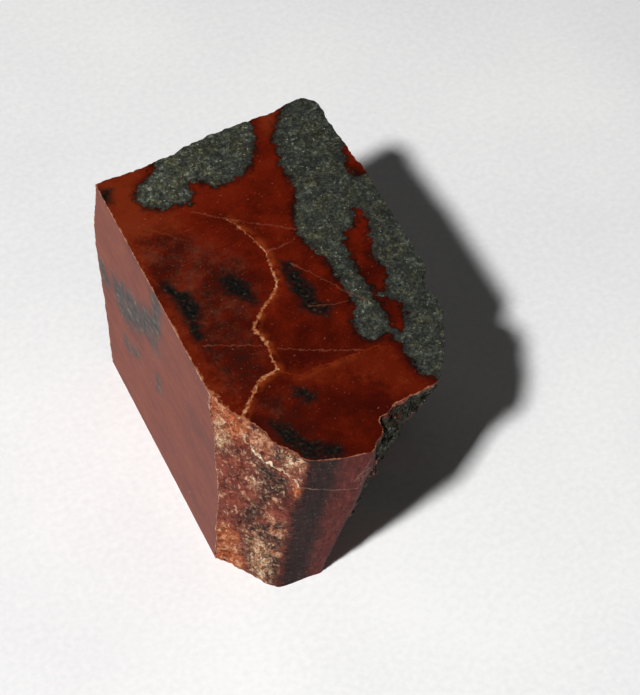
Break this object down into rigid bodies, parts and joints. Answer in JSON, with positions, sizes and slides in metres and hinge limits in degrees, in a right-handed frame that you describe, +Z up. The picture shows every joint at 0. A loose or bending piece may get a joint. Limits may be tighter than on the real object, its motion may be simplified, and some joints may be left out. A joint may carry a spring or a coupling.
{
  "type": "red jasper specimen block",
  "caption": "Sawn block of red jasper with a flat polished top, green-grey patches, pale veins and rough broken ends, standing on a flat sawn foot.",
  "frame": {"origin": "under the middle of the block's bounding box, on the surface that the foot rests on", "axes": "+X across the slab, square to its two parallel saw cuts; +Y along its length, towards the broken back end; +Z up, towards the polished top"},
  "size_m": [0.0334, 0.0572, 0.04],
  "materials": {
    "red_jasper": "polished top, satin saw cuts, rough broken faces"
  },
  "bodies": {
    "root": {"jasper_block": "red_jasper"}
  },
  "joints": []
}
